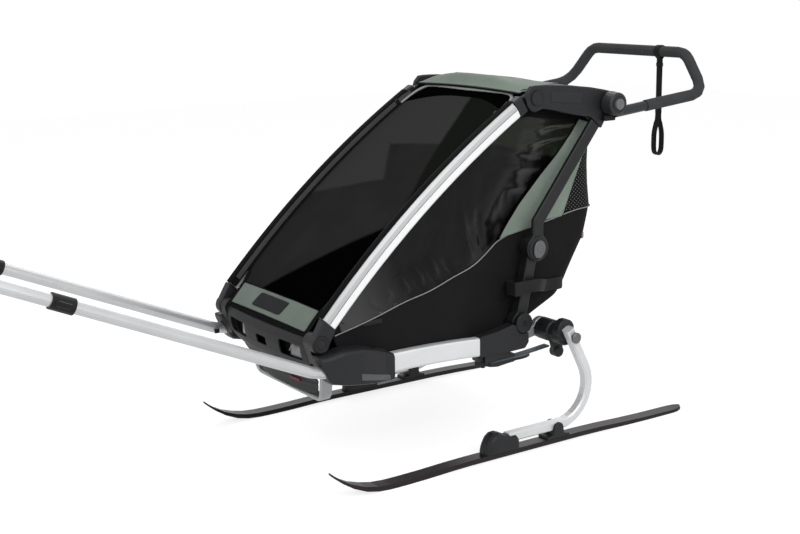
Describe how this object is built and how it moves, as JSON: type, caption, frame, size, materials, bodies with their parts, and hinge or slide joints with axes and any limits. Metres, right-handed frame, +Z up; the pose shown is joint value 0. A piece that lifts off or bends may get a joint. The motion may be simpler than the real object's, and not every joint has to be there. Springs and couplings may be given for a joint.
{
  "type": "child trailer ski pulk",
  "caption": "Folding single-seat child trailer set up as a pulk: bowed front pillars and fabric cabin on a rail base, two tow arms, sprung skis and a tilting push handle",
  "frame": {"origin": "Bottom centre of the bounds, on the floor under the skis, midway between them", "axes": "+Z is up, the front (tow arms) faces -Y, and +X is the trailer's left side, the side seen in the picture"},
  "size_m": [0.7416, 2.7294, 1.0399],
  "materials": {
    "aluminium": "satin anodised",
    "black_plastic": "fine moulded texture",
    "grey_plastic": "satin",
    "handle_coat": "satin powder coat",
    "grip_foam": "matt foam",
    "spring_steel": "dark blued",
    "ski_top": "semi-gloss",
    "green_cloth": "woven, matt",
    "black_cloth": "woven, matt",
    "window": "smooth tinted film in a cloth frame",
    "webbing": "woven webbing",
    "seat_cloth": "padded cloth, matt"
  },
  "bodies": {
    "chassis": {"rail_left": "aluminium", "rail_right": "aluminium", "socket_left": "black_plastic", "socket_right": "black_plastic", "rear_corner_left": "black_plastic", "rear_corner_right": "black_plastic", "tow_arm_left": "aluminium", "tow_arm_right": "aluminium", "tow_tip_left": "aluminium", "tow_tip_right": "aluminium", "pole_clip_left": "black_plastic", "pole_clip_right": "black_plastic", "arm_pin_left": "webbing", "arm_pin_right": "webbing", "side_cover_left": "black_cloth", "side_cover_right": "black_cloth", "leaf_spring_left": "spring_steel", "leaf_spring_right": "spring_steel", "front_bumper": "black_plastic", "front_hoop": "aluminium", "rear_crosstube": "aluminium", "floor_tub": "black_plastic", "seat": "seat_cloth", "rear_cover": "black_cloth"},
    "pillar_frame": {"pillar_left": "aluminium", "pillar_right": "aluminium", "pillar_foot_left": "black_plastic", "pillar_foot_right": "black_plastic", "front_crossbar": "black_plastic", "front_cover": "window"},
    "roof_frame": {"side_beam_left": "black_plastic", "side_beam_right": "black_plastic", "upper_strut_left": "black_plastic", "upper_strut_right": "black_plastic", "canopy": "green_cloth"},
    "handle": {"handlebar": "handle_coat", "handle_grip": "grip_foam"},
    "wrist_strap": {"wrist_strap": "webbing"},
    "lower_struts": {"lower_strut_left": "black_plastic", "lower_strut_right": "black_plastic"},
    "suspension_left": {"swing_arm_left": "aluminium", "axle_hub_left": "black_plastic", "ski_arm_left": "aluminium", "ski_bracket_front_left": "black_plastic", "ski_bracket_rear_left": "black_plastic", "ski_left": "ski_top"},
    "axle_button_left": {"axle_button_left": "aluminium"},
    "handle_button_left": {"handle_button_left": "grey_plastic"},
    "fold_lock_left": {"fold_lock_left": "grey_plastic"},
    "release_tab_left": {"release_tab_left": "grey_plastic"},
    "suspension_right": {"swing_arm_right": "aluminium", "axle_hub_right": "black_plastic", "ski_arm_right": "aluminium", "ski_bracket_front_right": "black_plastic", "ski_bracket_rear_right": "black_plastic", "ski_right": "ski_top"},
    "axle_button_right": {"axle_button_right": "aluminium"},
    "handle_button_right": {"handle_button_right": "grey_plastic"},
    "fold_lock_right": {"fold_lock_right": "grey_plastic"},
    "release_tab_right": {"release_tab_right": "grey_plastic"}
  },
  "joints": [
    {"name": "frame_fold", "type": "hinge", "parent": "chassis", "child": "pillar_frame", "pos_m": [0, 0.04918, 0.3745], "axis": [-1, 0, 0], "range_deg": [0, 26], "deforming": ["side_cover_left", "side_cover_right", "rear_cover", "seat"]},
    {"name": "roof_fold", "type": "hinge", "parent": "pillar_frame", "child": "roof_frame", "pos_m": [0, 0.73168, 0.933], "axis": [-1, 0, 0], "range_deg": [0, 46.04]},
    {"name": "strut_fold", "type": "hinge", "parent": "chassis", "child": "lower_struts", "pos_m": [0, 0.69368, 0.3236], "axis": [1, 0, 0], "range_deg": [0, 67.35]},
    {"name": "handle_tilt", "type": "hinge", "parent": "roof_frame", "child": "handle", "pos_m": [0, 0.98768, 0.903], "axis": [1, 0, 0], "range_deg": [-20, 100]},
    {"name": "strap_swing", "type": "hinge", "parent": "handle", "child": "wrist_strap", "pos_m": [0.096, 1.34568, 1.0212], "axis": [1, 0, 0], "range_deg": [-60, 60]},
    {"name": "suspension_left", "type": "hinge", "parent": "chassis", "child": "suspension_left", "pos_m": [0.2042, 0.64568, 0.2586], "axis": [1, 0, 0], "range_deg": [0, 8], "stiffness_Nm_per_rad": 150, "springref_deg": -14.32},
    {"name": "axle_button_left", "type": "slide", "parent": "suspension_left", "child": "axle_button_left", "axis": [-1, 0, 0], "range_m": [0, 0.002], "stiffness_N_per_m": 400, "springref_m": -0.002},
    {"name": "handle_button_left", "type": "slide", "parent": "handle", "child": "handle_button_left", "axis": [-1, 0, 0], "range_m": [0, 0.0036], "stiffness_N_per_m": 400, "springref_m": -0.003},
    {"name": "fold_lock_left", "type": "hinge", "parent": "roof_frame", "child": "fold_lock_left", "pos_m": [0.266, 0.73968, 0.527], "axis": [1, 0, 0], "range_deg": [0, 40]},
    {"name": "release_tab_left", "type": "slide", "parent": "chassis", "child": "release_tab_left", "axis": [0, 0, -1], "range_m": [0, 0.003], "stiffness_N_per_m": 400, "springref_m": -0.002},
    {"name": "suspension_right", "type": "hinge", "parent": "chassis", "child": "suspension_right", "pos_m": [-0.2042, 0.64568, 0.2586], "axis": [1, 0, 0], "range_deg": [0, 8], "stiffness_Nm_per_rad": 150, "springref_deg": -14.32},
    {"name": "axle_button_right", "type": "slide", "parent": "suspension_right", "child": "axle_button_right", "axis": [1, 0, 0], "range_m": [0, 0.002], "stiffness_N_per_m": 400, "springref_m": -0.002},
    {"name": "handle_button_right", "type": "slide", "parent": "handle", "child": "handle_button_right", "axis": [1, 0, 0], "range_m": [0, 0.0036], "stiffness_N_per_m": 400, "springref_m": -0.003},
    {"name": "fold_lock_right", "type": "hinge", "parent": "roof_frame", "child": "fold_lock_right", "pos_m": [-0.266, 0.73968, 0.527], "axis": [-1, 0, 0], "range_deg": [0, 40]},
    {"name": "release_tab_right", "type": "slide", "parent": "chassis", "child": "release_tab_right", "axis": [0, 0, -1], "range_m": [0, 0.003], "stiffness_N_per_m": 400, "springref_m": -0.002}
  ],
  "couplings": [
    {"joint": "roof_fold", "follows": "frame_fold", "ratio": 1.7704},
    {"joint": "strut_fold", "follows": "frame_fold", "ratio": 2.59}
  ]
}
